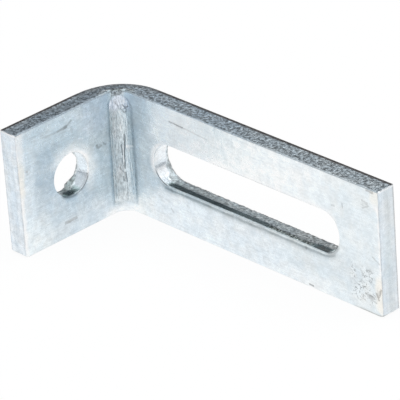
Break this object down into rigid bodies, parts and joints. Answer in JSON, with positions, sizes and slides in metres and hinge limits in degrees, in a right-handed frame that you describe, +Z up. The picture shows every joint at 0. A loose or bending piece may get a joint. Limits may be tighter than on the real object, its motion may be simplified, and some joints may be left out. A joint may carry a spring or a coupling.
{
  "type": "rack mount ear bracket",
  "caption": "L-shaped flat-bar bracket, cold bent and zinc plated, with a round bolt hole in its short leg and a long adjusting slot in its long leg.",
  "frame": {"origin": "middle of the footprint's bounding box, on the surface that the bracket stands on", "axes": "+X along the long leg away from the bend, -Y along the short leg away from the bend, +Z up across the width of the bar"},
  "size_m": [0.07, 0.0294, 0.025],
  "materials": {
    "zinc_plated_steel": "satin"
  },
  "bodies": {
    "root": {"bracket": "zinc_plated_steel"}
  },
  "joints": []
}
